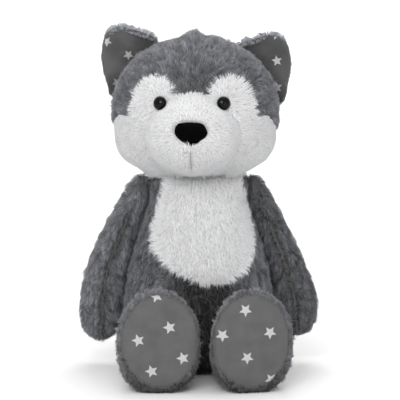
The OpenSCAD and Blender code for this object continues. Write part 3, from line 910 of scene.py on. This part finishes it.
EAR_CORNERS = np.array([[62, 267.5], [61.5, 238], [44, 262]])  # tip, outer and inner, clockwise
EAR_ROUND = 14  # radius of an ear's corners
EAR_SET = {"left": 3.0, "right": -3.5}  # how far up each ear is sewn
EAR_TUCK = {"left": 7.5, "right": 2.0}  # how far the lower corner is tucked in
EAR_DROP = 2.0  # how far the stuffed head lets the ears down
EAR_BULGE = 2.8  # how far the outer edge swells out
EAR_ROOT = np.array([53.2, 248.8])  # the middle of the line where an ear meets the head
EAR_OUT = np.array([0.81, 0.586])  # from that line to the tip
# Where one printed star sits on each lining, the steps to the next ones, and its point's turn
EAR_PRINT = {"left": ((-58.9, 258.3), ((-17.1, 11.3), (-8.8, -22.7)), -90),
             "right": ((64.7, 253.8), ((23.1, 0.0), (-0.2, 21.7)), 100)}
EAR_BARE = {"left": 0.0, "right": 0.9}  # how far the print reaches the edge at the tip
EAR_PRINT_SIZE = {"left": 0.84, "right": 0.88}
EAR_COTTON_WITH_PAINTED_SHADE = {"left": 0.097, "right": 0.074}  # how light the cotton is on each ear: the right lining is painted darker, as painted shade


def ear_plane(h, s, name):
    """[across, up] of points on an ear, as on the right ear before it is set"""
    return np.stack([s * h[:, 0], h[:, 2] - EAR_SET[name]], axis=1)


def ear_depth(q):
    """How far inside an ear's outline points lie, and the way out to the nearest edge"""
    away = np.full(len(q), np.inf)
    inside = np.ones(len(q), bool)
    out = np.zeros_like(q)
    for a, b in zip(EAR_CORNERS, np.roll(EAR_CORNERS, -1, axis=0)):
        along = b - a
        share = np.clip(dot(q - a, along) / dot(along, along), 0, 1)
        gap = q - a - share[:, None] * along
        reach = np.linalg.norm(gap, axis=1)
        nearer = reach < away
        away[nearer] = reach[nearer]
        out[nearer] = gap[nearer]
        inside &= along[0] * (q - a)[:, 1] - along[1] * (q - a)[:, 0] <= 0
    return EAR_ROUND + np.where(inside, away, -away), unit(np.where(inside[:, None], EAR_OUT, out))


def shape_ear(skin, s, name):
    """Curls an ear's edges forward and presses a crease into its root"""
    h = in_head(skin.corners)
    q = ear_plane(h, s, name)
    up = q[:, 1].copy()
    q = q - EAR_ROOT
    out = dot(q, EAR_OUT)
    along = dot(q, np.array([-EAR_OUT[1], EAR_OUT[0]]))
    curl = 4.5 * (along / 24) ** 2 * smooth_step(out, 2, 16)
    crease = 3.5 * bell(along - 4 - 0.2 * out, 6) * fade(out, 8, 30)
    h[:, 1] += 1.4 * crease - curl + 0.8 * ripple(h, 14, 330 + s)
    bulge = EAR_BULGE * bell(up - 256, 13) - EAR_TUCK[name] * fade(up, 224, 246)
    h[:, 0] += s * bulge * smooth_step(out, 2, 16)
    h[:, 2] -= EAR_DROP + 3.5 * fade(up, 232, 250)
    return Skin(out_of_head(h), skin.quads)


def make_ear(name, s):
    flat = wrap(["ear_back_" + name, "ear_lining_" + name], 1.4, 4)
    skin = shape_ear(flat, s, name)
    facing = skin.facing @ head_axes.T
    q = ear_plane(in_head(flat.middle), s, name)
    depth, out = ear_depth(q)
    top = smooth_step(out[:, 1], 0.3, 0.9)
    tip = smooth_step(dot(q - EAR_ROOT, EAR_OUT), 14, 24)
    lining = (facing[:, 1] < -0.3) & (depth > 1.6 + 3.0 * top * (1 - EAR_BARE[name] * tip))
    body = "ear_" + name
    place, steps, point = EAR_PRINT[name]
    root = out_of_head([s * EAR_ROOT[0], 0, EAR_ROOT[1] + EAR_SET[name]])
    way = turn_out(np.array([s * EAR_OUT[0], 0, EAR_OUT[1]]))
    look = star_cloth("ear_print_" + name, head_right, UP, np.array(steps), np.array([place[0], 0, place[1]]),
                      point, EAR_COTTON_WITH_PAINTED_SHADE[name], 0.52, EAR_PRINT_SIZE[name], (root, way))
    cloth("ear_lining_" + name, body, skin, lining, look, thick=0.8, fill=0.3)
    cloth("ear_back_" + name, body, skin, ~lining, GREY_CLOTH, thick=0.8, fill=0.3)
    p, n = skin.spread(~lining, 1.1, 300 + s)
    depth, out = ear_depth(ear_plane(in_head(p), s, name))
    flow = turn_out(np.stack([s * out[:, 0], np.zeros(len(p)), out[:, 1]], axis=1))
    top = smooth_step(out[:, 1], 0.2, 0.8) * (depth < 6)
    side = (1 - top) * fade(depth, 1, 5)
    flow[:, 1] += 3 * side
    longer = 0.55 + 0.15 * top - 0.32 * side
    grow("ear_back_" + name, body, LONG_GREY, p, n, flow, 310 + s, longer, 2.4 * top)


# ---- Arms ----


def centre_line(skin):
    """The middle of a limb across, by height, as two lists for np.interp"""
    bands = np.linspace(skin.corners[:, 2].min(), skin.corners[:, 2].max(), 24)
    heights, middles = [], []
    for a, b in zip(bands, bands[1:]):
        near = skin.corners[(skin.corners[:, 2] >= a) & (skin.corners[:, 2] <= b)]
        heights.append((a + b) / 2)
        middles.append((near[:, 0].min() + near[:, 0].max()) / 2)
    return heights, middles


ARM_PAINTED_LIGHT_AND_SHADE = {"left": -0.3, "right": 1.1}  # how much darker each arm is painted, in tones: painted shade on the right arm, painted light on the left
# How much higher the stuffed shoulders stand, and how far they drop at their outer side
SHOULDER_FULL = {"left": 3.2, "right": 3.0}
SHOULDER_DROP = {"left": 0.4, "right": 5.0}


def make_arm(name, s):
    body = "arm_" + name
    skin = wrap([part + name for part in ("arm_outer_", "arm_inner_", "arm_filling_")], 1.8, 4)
    full = SHOULDER_FULL[name] - SHOULDER_DROP[name] * smooth_step(s * skin.corners[:, 0], 46, 57)
    full = full * smooth_step(skin.corners[:, 2], 138, 156)
    skin = Skin(skin.corners + full[:, None] * UP, skin.quads)
    low, high = skin.corners[:, 2].min(), skin.corners[:, 2].max()
    heights, middles = centre_line(skin)
    outer = s * (skin.middle[:, 0] - np.interp(skin.middle[:, 2], heights, middles)) > 0
    for k, (part, chosen) in enumerate((("arm_outer_", outer), ("arm_inner_", ~outer))):
        cloth(part + name, body, skin, chosen, GREY_CLOTH)
        p, n = skin.spread(chosen, SHORT_GREY.per_mm2, 400 + 2 * k + s)
        away = p[:, 0] - np.interp(p[:, 2], heights, middles)
        front = (p[:, 1] < 0) * smooth_step(high - p[:, 2], 12, 35)
        parting = bell(away, 4.5) * front
        flow = np.stack([np.sign(away) * parting * 1.6, np.zeros(len(p)), -np.ones(len(p))], axis=1)
        top = smooth_step(p[:, 2], 148, 156)
        flow[:, 2] += 0.8 * top
        paw = fade(p[:, 2], low + 2, low + 14)
        # Painted shade in the groove along the arm's front seam
        seam = bell(away, 2.0) * front
        # Each arm is painted a little darker or lighter as a whole: painted shade on the right, painted light
        # on the left
        grow(part + name, body, SHORT_GREY, p, n, flow, 410 + 2 * k + s,
             1 - 0.35 * parting - 0.3 * paw, -3.2 * seam - ARM_PAINTED_LIGHT_AND_SHADE[name], 15 * parting)


def make_shoulder(name, s):
    body = "shoulder_" + name
    panel = "shoulder_seam_" + name
    skin = wrap([panel], 0.9, 3)
    cloth(panel, body, skin, WHOLE, GREY_CLOTH, thick=0.6)
    p, n = skin.spread(s * skin.facing[:, 0] > -0.2, 0.9, 450 + s)
    grow(panel, body, SHORT_GREY, p, n, DOWN, 460 + s)


# ---- Legs ----

# Where one printed star sits on each sole [x, z], the print's turn and the way a star points
SOLE_PRINT = {"left": ((-22.4, 52.4), 23, 180), "right": ((37.0, 28.6), -43, -90)}
# How far the seams draw in a foot's inner and outer side
FOOT_PULL = {"left": (0.5, 1.8), "right": (2.6, 0.0)}
SOLE_HALF = 29.3  # half a sole's width
SOLE_ASIDE = {"left": 2.2, "right": 0.6}  # how far towards the other foot it is sewn


def make_leg(name, s):
    body = "leg_" + name
    skin = wrap(["leg_panel_" + name, "leg_filling_" + name, "sole_" + name], 2.0, 4)
    hip = joint_mm(body + "_swing")
    low, high = box_mm("sole_" + name)
    middle = (low + high) / 2
    ahead = unit((middle - hip) * [1, 1, 0])
    across = np.cross(ahead, UP)
    half = (SOLE_HALF, (high[2] - low[2]) / 2 + 1.0)
    inward = -s * across if across[0] > 0 else s * across

    aside = dot(skin.corners - middle, inward) / SOLE_HALF
    inner, outer = FOOT_PULL[name]
    pull = outer * smooth_step(-aside, 0.4, 1.1) - inner * smooth_step(aside, 0.4, 1.1)
    near_foot = smooth_step(dot(skin.corners - hip, ahead), 5, 35)
    skin = Skin(skin.corners + (pull * near_foot)[:, None] * inward, skin.quads)

    def place(p):
        d = p - middle - SOLE_ASIDE[name] * inward
        return dot(d, across) / half[0], d[:, 2] / half[1], dot(d, ahead)

    a, b, _ = place(skin.middle)
    sole = (np.hypot(a, b) < 1.0) & (dot(skin.facing, ahead) > 0.45)
    star_at, turn, point = SOLE_PRINT[name]
    look = star_cloth("sole_print_" + name, -s * inward, UP, square_steps(turn),
                      np.array([star_at[0], middle[1], star_at[1]]), point, 0.09, 0.48)
    cloth("sole_" + name, body, skin, sole, look, thick=1.0, fill=0.8)
    cloth("leg_panel_" + name, body, skin, ~sole, GREY_CLOTH)
    p, n = outside_torso(*skin.spread(~sole, SHORT_GREY.per_mm2, 500 + s), 4)
    a, b, depth = place(p)
    rim = smooth_step(depth, -9, -1)
    outward = unit(across * (a * half[0])[:, None] + UP * (b * half[1])[:, None])
    flow = ahead * (1 - 0.55 * rim)[:, None] + outward * (0.55 * rim)[:, None]
    front = dot(n, ahead) > 0.5
    flow[front] = outward[front] + 0.2 * ahead
    # Painted shade on the inner side of the leg, which faces the other foot, and under the rim near the
    # floor; painted light on top of the rim. The rim is also a little darker all round.
    shaded = smooth_step(dot(n, inward), 0.1, 0.7) * fade(p[:, 2], 35, 60) * (1 - rim)
    under = rim * smooth_step(-b, 0.5, 1.0)
    over = rim * smooth_step(b, 0.5, 1.0)
    beside = rim * smooth_step(np.abs(dot(n, across)), 0.3, 0.8)
    grow("leg_panel_" + name, body, SHORT_GREY, p, n, flow, 510 + s,
         1 - 0.3 * rim - 0.3 * beside + 0.2 * over,
         0.5 * over - 0.3 * rim - 2.2 * under - 3.5 * shaded, 18 * beside, floor=0.3)


# ---- Tail ----


def make_tail():
    skin = wrap(["tail_panel", "tail_filling"], 1.8, 4)
    root = joint_mm("tail_wag")
    high = box_mm("tail_panel")[1]
    tip = np.array([0, high[1], high[2] - 6])
    cloth("tail_panel", "tail", skin, WHOLE, GREY_CLOTH)
    p, n = outside_torso(*skin.spread(WHOLE, 0.8, 600), 3)
    grow("tail_panel", "tail", LONG_GREY, p, n, unit(tip - root), 610, floor=0.3)


# ---- Eyes ----

EYE_TURN = 27  # degrees an eye looks outwards
EYE_TILT = 8  # degrees it looks up
# A safety eye as [radius, height] from its rim: shank, flat back, rolled rim and dome
EYE_PROFILE = [[0.2, -10.5], [1.9, -10.5], [2.0, -10.2], [2.0, -1.0], [4.6, -1.0], [5.2, -0.8],
               [5.55, -0.3], [5.65, 0.3]]
DOME_RISE = 4.3
DOME_STEPS = 14


def make_eye(name, s):
    rim = EYE_PROFILE[-1]
    angles = np.linspace(0, math.pi / 2, DOME_STEPS)[1:]
    dome = [[max(rim[0] * math.cos(a), 0.02), rim[1] + DOME_RISE * math.sin(a)] for a in angles]
    skin = lathe(EYE_PROFILE + dome, 40)
    turn, tilt = math.radians(EYE_TURN), math.radians(EYE_TILT)
    way = turn_out(np.array([s * math.sin(turn) * math.cos(tilt), -math.cos(turn) * math.cos(tilt),
                             math.sin(tilt)]))
    across = unit(np.cross(UP, way))
    shape = np.array([v.co for v in frame["nodes"]["eye_" + name].data.vertices]) / MM
    front = shape[np.argmax(shape @ way)]
    place = front - (rim[1] + DOME_RISE - 0.2) * way
    corners = skin.corners @ np.array([across, np.cross(way, across), way]) + place
    mesh = smooth_mesh("eye_dome_" + name, corners, skin.quads)
    ob = make_object("eye_dome_" + name, mesh, "head", [EYE_GLOSS])
    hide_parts("eye_" + name)


NOSE_SWELL = 0.9
NOSE_ROUND = 2.4  # how much lower the corners of its top are
NOSE_ASIDE = 0.8
NOSTRIL_X = 5.5
NOSTRIL_RADIUS = 2.0
NOSTRIL_DEEP = 0.9


def make_nose():
    """The nose, rounded all over, with two shallow nostril dimples"""
    skin = wrap(["nose"], 0.6, 14)
    h = in_head(skin.corners)
    x, y, z = (h - NOSE).T
    face = smooth_step(-y, 2, 6)
    grown = h + unit(h - NOSE) * NOSE_SWELL * face[:, None]
    below = smooth_step(-z, -2, 9)
    grown[:, 2] -= (1.5 + 1.6 * below) * face
    grown[:, 0] -= x * 0.12 * below * face
    above = smooth_step(z, 0, 6)
    grown[:, 2] -= NOSE_ROUND * np.clip(x / 12, -1, 1) ** 2 * above * face
    grown[:, 0] += NOSE_ASIDE * face
    for side in (-1, 1):
        reach = np.hypot(x - side * NOSTRIL_X, z - 1.0)
        grown[:, 1] += NOSTRIL_DEEP * bell(reach, NOSTRIL_RADIUS) * face
    mesh = smooth_mesh("nose_form", out_of_head(grown), skin.quads)
    ob = make_object("nose_form", mesh, "head", [moulded("nose_flock", 0.001, 0.65, 0.02, 0.9)])
    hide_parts("nose")


# ---- CAD nodes that stay ----


def dress(nodes, mat):
    for node in nodes:
        mesh = frame["nodes"][node].data
        mesh.materials.clear()
        mesh.materials.append(mat)


def dress_cad():
    dress([n for n in frame["nodes"] if "_filling" in n], fibre_filling())
    dress(["pellet_bag"], bag_cloth())
    dress(["eye_left", "eye_right"], EYE_GLOSS)
    dress(["nose"], moulded("nose_matt", 0.003, 0.6, 0.1, 0.8))
    dress(["nose_washer", "eye_washer_left", "eye_washer_right"], moulded("washer_plastic", 0.7, 0.4, 0.4))
    dress(["closing_stitch", "neck_thread", "mouth_stitch"], twisted_thread("twisted_thread", 0.3, 0.55))


# ---- Stage, lights and camera ----


# The stage, in metres
FLOOR_FRONT = -2.5
FLOOR_BACK = 1.6
FLOOR_BEND = 0.6  # radius of the sweep from the floor up into the backdrop
FLOOR_HALF = 3.0  # half the width
BACKDROP_TOP = 2.6
SOFTBOX_SIZE = 1.2
DAYLIGHT = 0.68  # how bright the world is


def make_stage():
    """A pale floor that sweeps up into a backdrop"""
    path = [(FLOOR_FRONT, 0.0), (FLOOR_BACK, 0.0)]
    path += [(FLOOR_BACK + FLOOR_BEND * math.sin(a), FLOOR_BEND - FLOOR_BEND * math.cos(a))
             for a in np.linspace(0, math.pi / 2, 12)]
    path += [(FLOOR_BACK + FLOOR_BEND, BACKDROP_TOP)]
    corners = [(x, y, z) for y, z in path for x in (-FLOOR_HALF, FLOOR_HALF)]
    faces = [(2 * k, 2 * k + 1, 2 * k + 3, 2 * k + 2) for k in range(len(path) - 1)]
    mesh = bpy.data.meshes.new("floor")
    mesh.from_pydata(corners, [], faces)
    mesh.polygons.foreach_set("use_smooth", np.ones(len(faces), bool))
    looks = Looks("pale_floor", Roughness=0.9)
    looks.feed(looks.blend(looks.noise(3), grey(0.86), grey(0.9)), "Base Color")
    mesh.materials.append(looks.mat)
    new_object("floor", mesh)


def softbox(name, place, target, watts):
    light = bpy.data.lights.new(name, "AREA")
    light.shape = "DISK"
    light.size = SOFTBOX_SIZE
    light.energy = watts
    ob = new_object(name, light)
    ob.location = place
    ob.rotation_euler = (Vector(target) - Vector(place)).to_track_quat("-Z", "Y").to_euler()


def make_lights():
    middle = (0, 0, 0.14)
    softbox("key", (-0.35, -1.65, 1.0), middle, 20.5)
    softbox("fill", (1.2, -1.4, 0.3), middle, 4)
    softbox("top", (0.1, 0.3, 1.8), middle, 7)
    softbox("backdrop", (0, 1.3, 1.9), (0, 2.2, 0.5), 22)
    world = bpy.data.worlds.new("studio")
    world.use_nodes = True
    sky = world.node_tree.nodes["Background"].inputs
    sky["Color"].default_value = (1, 1, 1, 1)
    sky["Strength"].default_value = DAYLIGHT
    bpy.context.scene.world = world


CAMERA_RISE = 6  # degrees above level
CAMERA_AWAY = 1.6
CAMERA_LENS = 172.8
LOOK_AT = Vector((0.0011, 0, 0.138))


def make_camera():
    camera = bpy.data.cameras.new("camera")
    camera.lens = CAMERA_LENS
    camera.sensor_width = 36
    camera.clip_end = 20
    ob = new_object("camera", camera)
    rise = math.radians(CAMERA_RISE)
    back = Vector((0, -math.cos(rise), math.sin(rise)))
    ob.location = LOOK_AT + back * CAMERA_AWAY
    ob.rotation_euler = (-back).to_track_quat("-Z", "Y").to_euler()
    bpy.context.scene.camera = ob


# ---- The toy ----

make_camera()
make_stage()
make_lights()
dress_cad()
make_torso()
make_neck()
make_mouth(make_head())
make_nose()
for side_name, sign in SIDES:
    make_eye(side_name, sign)
    make_ear(side_name, sign)
    make_arm(side_name, sign)
    make_shoulder(side_name, sign)
    make_leg(side_name, sign)
make_tail()

bpy.context.scene.view_settings.view_transform = "Standard"
